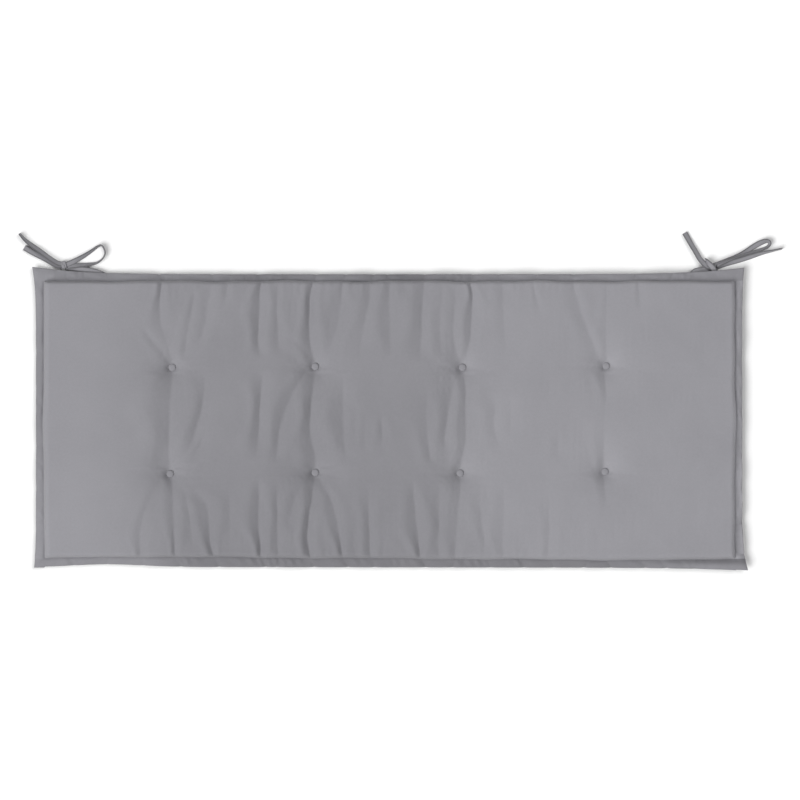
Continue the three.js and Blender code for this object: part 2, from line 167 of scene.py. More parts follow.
def makeWeaveGroup(shape):
    tree, given, out = newTree("plainWeave", "ShaderNodeTree", {"Place": "Vector", "Thread": "Float"},
                               {"Height": "Float", "Shade": "Float"})
    place = given["Place"]
    wobble = shade(tree, "TexNoise", {"Vector": place, "Scale": shape["wanderScale"]})["Color"]
    drift = shade(tree, "SeparateColor", {0: wobble})
    split = shade(tree, "SeparateXYZ", {0: place})
    waves = []
    for axis in (0, 1):
        counted = calc(tree, "DIVIDE", split[axis], given["Thread"])
        strayed = calc(tree, "MULTIPLY_ADD", drift[axis], shape["wander"], counted)
        waves.append(calc(tree, "SINE", calc(tree, "MULTIPLY", strayed, math.pi)))
    over = calc(tree, "GREATER_THAN", calc(tree, "MULTIPLY", *waves), 0)
    warp, weft = (calc(tree, "ABSOLUTE", wave) for wave in waves)
    picked = shade(tree, "Mix", {0: over, 2: weft, 3: warp})[0]
    fibre = shade(tree, "TexNoise", {"Vector": place, "Scale": shape["fibreScale"]})[0]
    fuzz = calc(tree, "MULTIPLY_ADD", fibre, shape["fibre"], picked)
    # the Shade output darkens the colour where the threads lie low: painted shade between the threads
    plug(tree, fuzz, out["Height"])
    plug(tree, calc(tree, "MULTIPLY", fuzz, shape["shade"]), out["Shade"])
    return tree


# slow changes of tone over the cloth, as dye and handling leave them
mottleShape = {"fineScale": 28, "fine": 0.35, "broad": 0.65}


def makeMottleGroup(shape):
    tree, given, out = newTree("clothMottle", "ShaderNodeTree", {"Place": "Vector", "Patch": "Float"},
                               {"Tone": "Float"})
    place, patch = given["Place"], given["Patch"]
    broad = shade(tree, "TexNoise", {"Vector": place, "Scale": patch, "Detail": 3})[0]
    fineScale = calc(tree, "MULTIPLY", patch, shape["fineScale"])
    fine = shade(tree, "TexNoise", {"Vector": place, "Scale": fineScale})[0]
    slow = calc(tree, "MULTIPLY", broad, shape["broad"])
    plug(tree, calc(tree, "MULTIPLY_ADD", fine, shape["fine"], slow), out["Tone"])
    return tree


weaveGroup = makeWeaveGroup(weaveShape)
mottleGroup = makeMottleGroup(mottleShape)

clothFinishes = {
    "coverCloth": {"dark": (0.192, 0.19, 0.206), "light": (0.306, 0.302, 0.324), "thread": 0.0009, "patch": 9},
    "buttonCloth": {"dark": (0.17, 0.168, 0.184), "light": (0.285, 0.281, 0.302), "thread": 0.0008,
                    "patch": 40},
    "tieCloth": {"dark": (0.17, 0.168, 0.182), "light": (0.31, 0.306, 0.326), "thread": 0.0008, "patch": 60},
}
clothFeel = {
    "shader": {"Sheen Weight": 0.15, "Sheen Roughness": 0.55, "Specular IOR Level": 0.2},
    "tone": {"weave": 0.42, "mottle": 0.55},
    # level of the colour where nothing is behind the cloth; the same level also carries painted light and shade
    "backed": 0.66,
    # painted shade at the edges of a tie strip: from how far out across it to how dark
    "hem": {"From Min": 0.0024, "From Max": 0.0042, "To Min": 1, "To Max": 0.5},
    "rough": {"To Min": 0.96, "To Max": 0.8},
    "bump": {"Strength": 0.55, "Distance": 0.0002},
}


def makeCloth(name, finish, feel):
    material, tree, shader = newMaterial(name, feel["shader"])
    place = shade(tree, "TexCoord")["UV" if name == "tieCloth" else "Object"]
    weave = shade(tree, "Group", {"Place": place, "Thread": finish["thread"]}, node_tree=weaveGroup)
    mottle = shade(tree, "Group", {"Place": place, "Patch": finish["patch"]}, node_tree=mottleGroup)
    slow = calc(tree, "MULTIPLY", mottle["Tone"], feel["tone"]["mottle"])
    tone = calc(tree, "MULTIPLY_ADD", weave["Shade"], feel["tone"]["weave"], slow)
    colour = blendTones(tree, tone, finish["dark"], finish["light"])
    if name == "coverCloth":  # the cloth's tone over the white filling, plus painted light and shade, sets its level
        fillingAndPaintedLight = shade(tree, "Attribute", attribute_name="fillingAndPaintedLight")["Fac"]
        level = shade(tree, "MapRange", {"Value": fillingAndPaintedLight, "To Min": feel["backed"]}, clamp=False)[0]
        colour = blendTones(tree, 1, colour, level, "MULTIPLY")
    if name == "tieCloth":  # painted shade along the edges of a strip, where its turned-in hems fall into shade; its middle is left lighter
        across = calc(tree, "ABSOLUTE", shade(tree, "SeparateXYZ", {0: place})[0])
        hem = shade(tree, "MapRange", {"Value": across, **feel["hem"]})[0]
        colour = blendTones(tree, 1, colour, hem, "MULTIPLY")
    plug(tree, colour, shader["Base Color"])
    rough = shade(tree, "MapRange", {"Value": weave["Shade"], **feel["rough"]})[0]
    plug(tree, rough, shader["Roughness"])
    bump = shade(tree, "Bump", {"Height": weave["Height"], **feel["bump"]})[0]
    plug(tree, bump, shader["Normal"])
    return material


cloths = {name: makeCloth(name, finish, clothFeel) for name, finish in clothFinishes.items()}

threadFinish = {
    "dark": (0.17, 0.168, 0.184), "light": (0.27, 0.266, 0.288), "patch": 60,
    "shader": {"Roughness": 0.7, "Sheen Weight": 0.2},
}


def makeThreadMaterial(finish):
    material, tree, shader = newMaterial("seamThread", finish["shader"])
    place = shade(tree, "TexCoord")["Object"]
    tone = shade(tree, "Group", {"Place": place, "Patch": finish["patch"]}, node_tree=mottleGroup)["Tone"]
    plug(tree, blendTones(tree, tone, finish["dark"], finish["light"]), shader["Base Color"])
    return material


threadMaterial = makeThreadMaterial(threadFinish)

floorFinish = {
    "pale": (0.84, 0.84, 0.84), "grain": (0.83, 0.83, 0.83), "grainScale": 3,
    "shader": {"Roughness": 0.9, "Specular IOR Level": 0.1},
    "half": 9, "level": -0.0004,
}


def makeFloor(finish):
    material, tree, shader = newMaterial("paleFloor", finish["shader"])
    place = shade(tree, "TexCoord")["Object"]
    cloud = shade(tree, "TexNoise", {"Vector": place, "Scale": finish["grainScale"]})[0]
    plug(tree, blendTones(tree, cloud, finish["grain"], finish["pale"]), shader["Base Color"])
    half = finish["half"]
    corners = [(-half, -half, 0), (half, -half, 0), (half, half, 0), (-half, half, 0)]
    floor = addShape("floor", corners, [], [(0, 1, 2, 3)], material)
    floor.location.z = finish["level"]


makeFloor(floorFinish)
print("materials and floor made")


# pad: one filled panel inside the seam, with the flange outside it
padShape = {
    "seamHalf": (582, 233.5),
    "crown": 32,
    "seamHeight": {"middle": 17, "corner": 14.5},
    "rollRun": 9,  # how far in from the seam the filling reaches its height
    "rollPower": 2.2,
    "backRoll": 1.45,  # so much steeper at the back
    "edgeFall": 0.5,  # what the crown still loses near the roll
    "edgeRun": 22,
    "rightFall": 2.2,  # the right end is filled less
    "rightRun": 8,
    "flare": {"long": 7, "short": 8},  # the reach grows late along a side
    "reach": {
        "back": {"middle": 11, "low": 23.5, "high": 22},
        "front": {"middle": 14.5, "low": 15, "high": 19.5},
        "left": {"middle": 14.5, "low": 17.5, "high": 21},
        "right": {"middle": 10.2, "low": 20, "high": 13.4},
    },
    "rimHeight": {"middle": 14, "corner": 13.5},
    "tilt": {"seam": 1.8, "rim": 3},  # so much higher at the right end, and lower at the left
    "rimThick": 2.4,
    "groove": 0.3,
    "seatRadius": 6.4,
    "seatHeight": 17,
    "dimpleRuns": (3.4, 25),  # a steep wall by the button, then a wide soft hollow
    "steepShare": 0.3,
}
seamX, seamY = padShape["seamHalf"]

buttonPlaces = {
    "back": [(-367.5, 88), (-126.5, 89.5), (121.5, 88), (363.5, 90.5)],
    "front": [(-371, -91), (-126.5, -89), (117.5, -90), (361.5, -87.5)],
}
buttonRows = [{"node": f"button_{side}_{number}", "x": x, "y": y}
              for side, places in buttonPlaces.items() for number, (x, y) in enumerate(places, 1)]

# folds of the cover, from the back to the front: widths of the side that falls to the crease and of the side
# that rises from it, then places along it as (x, y, depth)
foldRows = [
    (9, 7, (-384, 238, 4.2), (-387, 200, 4), (-386, 162, 2), (-377, 134, 0.8), (-366, 99, 2.6)),
    (6, 7, (-417, 157, 0), (-407, 142, 1.3), (-392, 122, 1.5), (-375, 99, 1.7)),
    (6, 7, (-328, 216, 0), (-331, 200, 1.4), (-339, 160, 2), (-346, 112, 1.4), (-350, 100, 0)),
    (14, 8, (-303, 222, 1), (-307, 190, 2.6), (-312, 160, 3.4), (-322, 132, 3.2), (-340, 106, 1)),
    (10, 6, (-272, 238, 2.2), (-275, 215, 2), (-281, 190, 0)),
    (9, 9, (-217, 238, 4.6), (-219, 205, 5), (-221, 165, 5.2), (-221, 130, 4.2), (-219, 102, 0)),
    (9, 7, (-190, 226, 0.8), (-190, 195, 2.4), (-189, 150, 3), (-188, 125, 2), (-188, 104, 0)),
    (8, 6, (-166, 140, 0), (-155, 128, 1), (-140, 110, 0.8), (-132, 101, 0.4)),
    (8, 8, (-129, 238, 5), (-134, 205, 6.2), (-136, 165, 6.2), (-134, 130, 5.6), (-127, 98, 4.4)),
    (13, 8, (-80, 238, 2.6), (-82, 205, 3), (-87, 165, 2.6), (-98, 130, 1.6), (-110, 104, 0)),
    (12, 9, (-33, 238, 2.8), (-36, 195, 3.2), (-44, 155, 3.2), (-51, 122, 2), (-54, 102, 0)),
    (11, 10, (0, 238, 2), (-2, 190, 2.6), (0, 140, 2.2), (1, 104, 0)),
    (13, 9, (57, 238, 3.4), (55, 195, 4), (53, 150, 4.2), (51, 120, 3), (50, 98, 0)),
    (10, 8, (87, 218, 0), (85, 180, 2), (84, 140, 2.2), (83, 106, 0)),
    (11, 8, (111, 222, 0.6), (108, 185, 2.2), (106, 150, 2.6), (110, 122, 2.8), (118, 97, 2.6)),
    (7, 9, (132, 238, 4), (139, 205, 4.4), (137, 165, 4), (133, 128, 3.4), (128, 102, 2)),
    (9, 12, (188, 238, 1.6), (189, 200, 1.4), (192, 150, 1), (194, 108, 0)),
    (6, 6, (240, 234, 0.8), (246, 205, 1), (251, 176, 0)),
    (12, 6, (305, 238, 2.2), (313, 210, 2), (326, 169, 1.8), (340, 132, 1.7), (355, 99, 2)),
    (6, 14, (363, 238, 0.6), (364, 190, 0.7), (363, 140, 1.3), (364, 102, 1.8)),
    (5, 8, (416, 238, 1.2), (420, 205, 1), (422, 178, 0)),
    (20, 13, (-366, 77, 3.6), (-369, 45, 5), (-371, 0, 5.4), (-372, -45, 5), (-370, -80, 4)),
    (9, 12, (-311, 74, 0.6), (-315, 35, 2.2), (-321, 0, 3), (-333, -36, 2.9), (-350, -68, 0.8)),
    (6, 8, (-311, -22, 0), (-318, -42, 1.8), (-332, -62, 1.4), (-341, -74, 0)),
    (9, 10, (-216, 76, 1), (-217, 50, 3.6), (-219, 10, 4), (-222, -30, 3.8), (-226, -68, 0)),
    (10, 9, (-140, 84, 1.2), (-156, 58, 2.9), (-174, 22, 3.7), (-186, -18, 3.7), (-191, -58, 1.6),
            (-192, -72, 0)),
    (11, 16, (-126, 78, 4), (-130, 48, 5), (-135, 0, 5.2), (-133, -30, 4.6), (-127, -55, 4.4), (-126, -79, 4)),
    (13, 12, (-81, 74, 0.5), (-79, 40, 2.8), (-79, 0, 3.2), (-77, -40, 3), (-72, -76, 0)),
    (6, 6, (-58, 30, 0), (-59, -10, 1), (-58, -55, 0)),
    (6, 6, (-42, 20, 0), (-43, -20, 0.8), (-42, -60, 0)),
    (6, 7, (-15, 10, 0), (-14, -20, 1.6), (-15, -60, 0)),
    (9, 8, (62, 50, 0), (61, 15, 1.2), (63, -30, 2), (66, -60, 1.6), (67, -75, 0)),
    (10, 8, (112, 72, 0.6), (104, 42, 2.1), (97, 5, 2.8), (93, -25, 2.6), (92, -58, 0)),
    (9, 13, (125, 76, 2.8), (127, 40, 3.2), (127, 0, 3.4), (126, -40, 3.1), (119, -80, 2.8)),
    (12, 12, (172, 48, 0), (176, 15, 1.6), (176, -20, 1.6), (190, -62, 0)),
    (8, 8, (202, 50, 0), (202, 0, 1), (202, -48, 0)),
    (9, 12, (280, -20, 0), (282, -50, 0.9), (281, -76, 0)),
    (8, 12, (362, 77, 2.6), (363, 50, 1.6), (362, 20, 0.4), (360, -20, 0.8), (359, -50, 1.8), (360, -76, 2.6)),
    (7, 20, (-388, -104, 0.8), (-412, -150, 1.4), (-421, -190, 2), (-420, -238, 2.6)),
    (7, 7, (-368, -101, 3), (-365, -140, 2.6), (-364, -190, 2.8), (-360, -238, 3.6)),
    (9, 6, (-352, -108, 0.4), (-341, -145, 2), (-335, -180, 2), (-335, -214, 0)),
    (11, 7, (-330, -118, 0.4), (-311, -138, 2.8), (-305, -170, 4), (-302, -205, 5), (-296, -238, 5.6)),
    (10, 9, (-271, -112, 0), (-270, -150, 1.5), (-271, -200, 0.6), (-272, -225, 0)),
    (9, 9, (-221, -102, 0.6), (-221, -130, 4), (-221, -175, 5), (-219, -210, 5.6), (-217, -238, 6)),
    (8, 8, (-190, -106, 0.4), (-190, -140, 2.8), (-190, -190, 2.8), (-188, -238, 2)),
    (8, 7, (-150, -110, 0.4), (-160, -135, 2), (-170, -165, 1.6), (-172, -188, 0)),
    (8, 8, (-128, -99, 4), (-131, -128, 4.6), (-136, -165, 6), (-139, -205, 6.6), (-133, -238, 6.6)),
    (8, 6, (-118, -100, 1), (-101, -130, 2.6), (-91, -165, 3.4), (-84, -200, 4), (-79, -238, 4.4)),
    (8, 7, (-37, -112, 0.3), (-36, -150, 2.4), (-35, -195, 3.6), (-32, -238, 4.2)),
    (10, 7, (38, -106, 0.4), (40, -135, 3), (44, -170, 4), (48, -205, 4.8), (51, -238, 5)),
    (10, 8, (82, -112, 0.4), (82, -150, 2.4), (82, -195, 2.4), (81, -238, 1.2)),
    (13, 9, (119, -99, 3), (117, -135, 3.2), (112, -180, 3.2), (110, -238, 3)),
    (8, 8, (148, -118, 0), (153, -160, 1.4), (158, -200, 1.4), (158, -222, 0)),
    (10, 14, (191, -112, 0.4), (190, -160, 1.4), (189, -238, 1.6)),
    (8, 12, (268, -116, 0), (267, -160, 1.1), (266, -238, 1)),
    (8, 12, (361, -98, 2.6), (361, -118, 1.8), (362, -145, 0.4), (362, -170, 0)),
]
foldShape = {
    "steps": 6,  # between two places of a crease
    "depth": 1.06,
    "rising": 1.3,  # widens all rising sides
    "blunt": 0.1,  # rounded at the bottom, as a share of the width
    "heap": (0.28, 0.14),  # cloth heaped up on either side
    "wander": ((0.5, 13, 2.1), (0.3, 6.1, 4.7)),  # size, run, and shift from fold to fold
    "uneven": (0.22, 19, 3.3),
    "endRun": 5,
    "seamWidth": 0.6, "seamRun": 55,  # drawn together at the long seams
    "between": 0.25, "rows": (70, 100),  # deepest between the two rows of buttons
}

# short slanted puckers of the flange along each side: place, lean across it, width, depth
puckerRows = {
    "front": [
        (-539, 6, 4.2, 0.8), (-472, -5, 3.6, 0.7), (-420, 5, 3.6, 0.8), (-361, 8, 4.2, 1.1),
        (-297, 9, 4.2, 1.2), (-218, 8, 3.6, 1.3), (-187, -4, 3.6, 0.8), (-137, 9, 4.2, 1.4),
        (-81, 10, 3.6, 1.2), (-32, 6, 4.2, 1), (52, 8, 4.2, 1.2), (111, -6, 4.2, 1), (163, 6, 3.6, 0.7),
        (216, 9, 3.6, 0.9), (269, 7, 3.6, 0.8), (338, -12, 3.6, 1.3), (364, 8, 3.6, 1.1), (421, 9, 4.2, 0.9),
        (452, 14, 3.6, 1.5), (520, -6, 4.2, 0.6),
    ],
    "back": [
        (-546, 0, 1.8, 0.5), (-529, 2, 2.4, 0.5), (-514, -3, 2.4, 0.4), (-481, 5, 4.2, 0.7),
        (-384, -6, 3.6, 1.1), (-305, 5, 3.6, 0.9), (-272, 4, 3.6, 0.9), (-218, -5, 3.6, 1.2),
        (-130, 6, 4.2, 1.3), (-81, 7, 3.6, 1.1), (-34, 6, 3.6, 1), (0, -5, 3.6, 0.9), (53, 5, 4.2, 1.1),
        (134, 6, 3.6, 1.2), (187, -5, 3.6, 0.9), (242, 5, 3.6, 0.8), (303, 6, 4.2, 1), (409, 5, 3.6, 0.8),
        (480, -5, 4.2, 0.6),
    ],
    "left": [
        (-190, 5, 6, 0.7), (-120, 5, 8, 0.7), (-40, -5, 6, 0.6), (12, 5, 5, 0.5), (60, -6, 9, 0.6),
        (110, 5, 6, 0.7), (150, 5, 8, 0.6),
    ],
    "right": [
        (-222, -5, 5, 1.4), (-180, 8, 5, 2), (-120, 5, 6, 0.7), (-60, -5, 9, 0.6), (20, -4, 5, 0.7),
        (95, 6, 9, 0.7), (150, 5, 6, 0.9), (190, -5, 5, 0.8),
    ],
}


def fadeStep(low, high, value):
    share = np.clip((value - low) / (high - low), 0, 1)
    return share * share * (3 - 2 * share)


def hill(value, middle, run):
    return np.exp(-((value - middle) / run) ** 2)


def ripple(place, *waves):
    # each wave is its size, its run and its shift
    return sum(size * np.sin(place / run + shift) for size, run, shift in waves)


def towardsCorner(pair, along, power):
    return pair["middle"] + (pair["corner"] - pair["middle"]) * np.abs(along) ** power


def flangeReach(side, along, power):
    corner = np.where(along < 0, side["low"], side["high"])
    return side["middle"] + (corner - side["middle"]) * np.abs(along) ** power


def reachOf(names, sign, along, power):
    return np.where(sign < 0, *(flangeReach(padShape["reach"][name], along, power) for name in names))


def edgeRoll(inset):
    left = np.clip(1 - inset / padShape["rollRun"], 0, 1)
    return (1 - left ** padShape["rollPower"]) ** (1 / padShape["rollPower"])


def splineShares(t):
    # Catmull-Rom weights of the four rows round t
    return np.stack([-t ** 3 + 2 * t ** 2 - t, 3 * t ** 3 - 5 * t ** 2 + 2,
                     -3 * t ** 3 + 4 * t ** 2 + t, t ** 3 - t ** 2], -1) / 2


def smoothLine(rows, steps):
    # a spline through the rows, straight at its ends
    rows = np.array(rows, float)
    longer = np.concatenate([2 * rows[:1] - rows[1:2], rows, 2 * rows[-1:] - rows[-2:-1]])
    shares = splineShares(np.arange(steps) / steps)
    return np.concatenate([*(shares @ longer[i:i + 4] for i in range(len(rows) - 1)), rows[-1:]])


def foldSum(x, y, shape):
    total = np.zeros_like(x)
    narrow = 1 - (1 - shape["seamWidth"]) * (1 - fadeStep(0, shape["seamRun"], seamY - np.abs(y)))
    for number, (falling, rising, *rows) in enumerate(foldRows):
        creaseX, creaseY, depths = smoothLine(rows, shape["steps"])[::-1].T
        deep = np.maximum(np.interp(y, creaseY, depths), 0)
        for past in (y - creaseY[-1], creaseY[0] - y):
            deep = deep * (1 - fadeStep(0, shape["endRun"], past))
        lean = np.interp(y, creaseY, np.gradient(creaseX, creaseY))
        wander, uneven = (ripple(y, *((size, run, shift * number) for size, run, shift in waves))
                          for waves in (shape["wander"], [shape["uneven"]]))
        across = (x - np.interp(y, creaseY, creaseX) + wander) / np.sqrt(1 + lean ** 2)
        wide = np.where(across < 0, falling, shape["rising"] * rising) * narrow * (1 + uneven)
        blunt = shape["blunt"] * wide
        off = (np.sqrt(across ** 2 + blunt ** 2) - blunt) / wide
        valley = 0.5 * np.clip(1 - off / 1.5, 0, 1) ** 1.5 + 0.5 * np.exp(-off)
        heap = np.where(across < 0, *shape["heap"])
        total += shape["depth"] * deep * (valley - heap * hill(np.abs(across), 2 * wide, wide))
    return total * (1 + shape["between"] * (1 - fadeStep(*shape["rows"], np.abs(y))))


def dimpleShare(x, y):
    share = np.zeros_like(x)
    near, far = padShape["dimpleRuns"]
    steep = padShape["steepShare"]
    for row in buttonRows:
        away = np.maximum(np.hypot(x - row["x"], y - row["y"]) - padShape["seatRadius"], 0)
        share = np.maximum(share, steep * np.exp(-away / near) + (1 - steep) * np.exp(-away / far))
    return share


# the crosswise crease that each button pulls, sinking to the front on its right
tuftShape = {"start": 5, "run": 21, "wide": 7, "blunt": 6, "sink": (0.14, 0.04), "pull": 2.8,
             "lastPull": 4.2, "lastFrom": 300}


def tuftCreases(x, y, shape):
    total = np.zeros_like(x)
    for row in buttonRows:
        out = np.maximum(np.abs(x - row["x"]) - shape["start"], 0)
        sunk = y - row["y"] + np.where(x > row["x"], *shape["sink"]) * out
        pull = shape["lastPull"] if row["x"] > shape["lastFrom"] else shape["pull"]
        crease = np.exp(-np.sqrt(sunk ** 2 + shape["blunt"]) / shape["wide"])
        total += pull * np.exp(-out / shape["run"]) * crease
    return total


# fine gathers along the two long seams, gone a few centimetres in
gatherShape = {"deep": 0.7, "run": 9, "shift": 1.3}


def seamGathers(x, y):
    shift = np.sign(y) * gatherShape["shift"]
    wave = ripple(x, (1, 2.1, ripple(x, (2, 23, shift))), (0.8, 4.3, ripple(x, (1.7, 31, -shift))))
    strength = 0.5 + ripple(x, (0.5, 61, 2.4 * shift))
    return gatherShape["deep"] * wave * strength * np.exp((np.abs(y) - seamY) / gatherShape["run"])


def slowWaves(x, y):
    patch = ripple(y, (0.5, 53, 1.1))
    return ripple(x, (patch, 37, ripple(y, (0.6, 71, 0))), (0.3, 19, y / 160 + 2), (0.2, 11.3, 0.7 - y / 97))


# how far the seams and the front rim stray from straight lines
driftShape = {
    "back": ((0.9, 33, 0.4), (0.7, 13.5, 1.9)),
    "front": ((0.7, 41, 2.2), (0.5, 15.5, 0.3)),
    "frontSlope": 4.2,  # the front seam runs out to the right
    "cornerPower": 6,
    "ends": -1.8,
    "bow": {"middle": -6, "run": 38, "left": 2.1, "right": 2.8},  # end seams bow out between the button rows
    "leftFront": 1.6, "leftRange": (150, 230),
    "rightWave": (0.4, 14, 0),
    "rim": {"in": 4.6, "middle": -475, "run": 80, "slope": 0.9},  # drawn in near its left end
    "panelRun": 9,
}


def seamDrift(x, y):
    front = ripple(x, *driftShape["front"]) - driftShape["frontSlope"] * x / seamX
    held = 1 - (np.abs(x) / seamX) ** driftShape["cornerPower"]
    return np.where(y > 0, ripple(x, *driftShape["back"]), front) * held


def sideDrift(x, y):
    bow = driftShape["bow"]
    bowed = hill(y, bow["middle"], bow["run"])
    left = driftShape["leftFront"] * fadeStep(*driftShape["leftRange"], -y) - bow["left"] * bowed
    return driftShape["ends"] + np.where(x < 0, left, bow["right"] * bowed + ripple(y, driftShape["rightWave"]))


def rimDrift(x):
    rim = driftShape["rim"]
    return rim["in"] * hill(x, rim["middle"], rim["run"]) - rim["slope"] * x / seamX


def seamLevel(x, y):
    along = np.minimum(np.abs(x) / seamX, np.abs(y) / seamY)
    level = towardsCorner(padShape["seamHeight"], along, padShape["flare"]["long"])
    return level + padShape["tilt"]["seam"] * x / seamX - padShape["groove"]


def gathered(x):
    return fadeStep(-440, -350, x) * (1 - 0.7 * fadeStep(150, 330, x))  # the left middle is the most gathered


def panelTop(x, y):
    insetX, insetY = seamX - np.abs(x), seamY - np.abs(y)
    rise = edgeRoll(insetX) * edgeRoll(insetY * np.where(y > 0, padShape["backRoll"], 1))
    full = padShape["crown"] - padShape["edgeFall"] * np.exp(-np.minimum(insetX, insetY) / padShape["edgeRun"])
    full += (slowWaves(x, y) + seamGathers(x, y)) * (0.25 + 0.75 * gathered(x))
    full -= padShape["rightFall"] * np.exp((x - seamX) / padShape["rightRun"])
    dimple = dimpleShare(x, y)
    folds = (foldSum(x, y, foldShape) + tuftCreases(x, y, tuftShape)) * (1 - dimple ** 3)
    return seamLevel(x, y) * (1 - rise) + rise * (full * (1 - dimple) + padShape["seatHeight"] * dimple - folds)


# lines of the cover's grid: shares of the flange, insets from the seam, then even steps
gridShape = {
    "shares": (1, 0.965, 0.9, 0.78, 0.62, 0.45, 0.3, 0.17, 0.07),
    "insets": (0, 0.5, 1.1, 1.9, 2.9, 4.2, 5.8, 7.8, 10.2, 13),
    "stepX": 1.6, "fromX": 15,
    "stepY": 4.2, "fromY": 16.5, "fineY": 1.9, "fineAt": 89, "fineRun": 20,  # finer at the rows of buttons
    "samples": 4000,
}


def evenLines(half, step):
    return np.linspace(-half, half, int(round(2 * half / step)) + 1)


def closedLines(half, shape):
    place = np.linspace(-half, half, shape["samples"] + 1)
    close = hill(np.abs(place), shape["fineAt"], shape["fineRun"])
    spacing = shape["stepY"] - (shape["stepY"] - shape["fineY"]) * close
    count = np.concatenate([[0], np.cumsum(2 * half / shape["samples"] / spacing[1:])])
    return np.interp(np.linspace(0, count[-1], int(round(count[-1])) + 1), count, place)


def gridLines(half, middle):
    shares, insets = np.array(gridShape["shares"]), np.array(gridShape["insets"])
    rim = np.full(len(shares), half)
    at = np.concatenate([-rim, insets - half, middle, half - insets[::-1], rim])
    out = np.concatenate([-shares, np.zeros(len(insets) * 2 + len(middle)), shares[::-1]])
    return at, out


def gridQuads(rows, columns):
    index = np.arange(rows * columns).reshape(rows, columns)
    corners = [index[:-1, :-1], index[:-1, 1:], index[1:, 1:], index[1:, :-1]]
    return index, np.stack(corners, -1).reshape(-1, 4)


flangeShape = {
    "waves": ((1.2, 128, 0.4), (0.8, 73, 2.1)),  # of the rim's height
    "apart": 200,  # between the waves of the two long sides
    "puff": 0.9,
    "endCrowd": 0.7,
    "puckerDepth": 3, "puckerAtSeam": 0.3, "puckerBlunt": 0.02,
    "drawnIn": 0.2,  # what a pucker takes from the reach
    "foldUp": 1.8, "foldUpRange": (380, 470),  # folded up at the front right
    "clear": 0.35,  # least height of the lower layer
}


def puckerSum(side, place, share, shape):
    total = np.zeros_like(place)
    for at, lean, width, depth in puckerRows[side]:
        total += depth * np.exp(-np.sqrt(((place - at - lean * share) / width) ** 2 + shape["puckerBlunt"]))
    return shape["puckerDepth"] * total * (shape["puckerAtSeam"] + (1 - shape["puckerAtSeam"]) * share)


def zigzag(turns):
    return 4 * np.abs(turns - np.floor(turns + 0.5)) - 1


def flangeFacets(place, share, crowded):
    # the flange is turned over unevenly, so it lies in slanted facets
    long = zigzag(place / 47 + ripple(place, (0.5, 61, 0)) + 0.3 * share)
    short = zigzag(place / 19.3 + ripple(place, (0.9, 29, 1)) - 0.45 * share)
    uneven = (0.5 + ripple(place, (0.5, 23.7, ripple(place, (1.9, 41, 0))))) * (0.4 + crowded)
    puffed = flangeShape["puff"] * (1 + ripple(place, (1, 67, ripple(place, (1.3, 39, 0)))))
    return (long + uneven * short + puffed) * np.sin(math.pi * np.clip(share, 0, 1))


def coverGrid():
    shape, flare = flangeShape, padShape["flare"]
    ends, longs = ("left", "right"), ("front", "back")
    atX, outX = gridLines(seamX, evenLines(seamX - gridShape["fromX"], gridShape["stepX"]))
    atY, outY = gridLines(seamY, closedLines(seamY - gridShape["fromY"], gridShape))
    x, y = np.meshgrid(atX, atY)
    shareX, shareY = np.meshgrid(outX, outY)
    offX, offY = np.abs(shareX), np.abs(shareY)
    share = np.maximum(offX, offY)
    onLong, onShort = offY > 0, offX > 0
    tipX, tipY = reachOf(ends, x, y, 0), reachOf(longs, y, x, 0)
    towardsX = np.sign(x) * (np.abs(x) + offX * tipX) / (seamX + tipX)  # 1 at the tip of a corner
    towardsY = np.sign(y) * (np.abs(y) + offY * tipY) / (seamY + tipY)
    reachX = reachOf(ends, shareX, towardsY, flare["short"])
    reachY = reachOf(longs, shareY, towardsX, flare["long"])
    along = np.where(onLong, np.where(onShort, 1, x / seamX), y / seamY)
    place = np.where(onLong, x + shape["apart"] * np.sign(shareY), y)
    wave = ripple(2 * math.pi * place, *shape["waves"]) * (1 - np.abs(along) ** 3)
    rim = towardsCorner(padShape["rimHeight"], along, flare["long"]) + wave
    rim += padShape["tilt"]["rim"] * x / seamX
    pucker = np.zeros_like(x)
    for side, there, run in (("front", shareY < 0, x), ("back", shareY > 0, x),
                             ("left", ~onLong & (shareX < 0), y), ("right", ~onLong & (shareX > 0), y)):
        pucker += there * puckerSum(side, run, share, shape)
    start = seamLevel(x, y)
    lift = padShape["groove"] * fadeStep(0, 0.25, share)
    folded = shape["foldUp"] * fadeStep(*shape["foldUpRange"], x)
    lift += (shareY < 0) * folded * np.sin(math.pi * share)
    lift += flangeFacets(place, share, np.where(onLong, gathered(x), shape["endCrowd"]))
    flange = start + (rim - start - padShape["groove"]) * share + lift - pucker
    z = np.where(share > 0, np.maximum(flange, padShape["rimThick"] + shape["clear"]), panelTop(x, y))
    run = driftShape["panelRun"]
    driftX = sideDrift(x, y) * np.where(onShort, 1 - offX, np.exp((np.abs(x) - seamX) / run)) * ~onLong
    driftY = seamDrift(x, y) * np.where(onLong, 1 - offY, np.exp((np.abs(y) - seamY) / run)) * ~onShort
    driftY += (shareY < 0) * rimDrift(x) * offY * ~onShort
    reachX = reachX - ~onLong * shape["drawnIn"] * pucker
    reachY = reachY - ~onShort * shape["drawnIn"] * pucker
    return x + shareX * reachX + driftX, y + shareY * reachY + driftY, z, shareX, shareY


# cloth simulation: the cover, cut a little too wide where it is gathered, settles over its filling
settleSetup = {
    "stepX": 5, "stepY": 6, "frames": 16,
    "slack": 0.02,  # extra width of the cut
    "cap": 1.6,  # the most that it may move, mm
    "loose": 0.2,  # hold and movement where nothing is gathered
    "heldRadius": 8.5,  # round each button
    "fabric": {
        "quality": 5, "mass": 0.3, "tension_stiffness": 15, "compression_stiffness": 15, "shear_stiffness": 5,
        "bending_stiffness": 50, "tension_damping": 25, "compression_damping": 25, "shear_damping": 25,
        "bending_damping": 2, "use_pressure": True, "uniform_pressure_force": 0.4,
    },
}


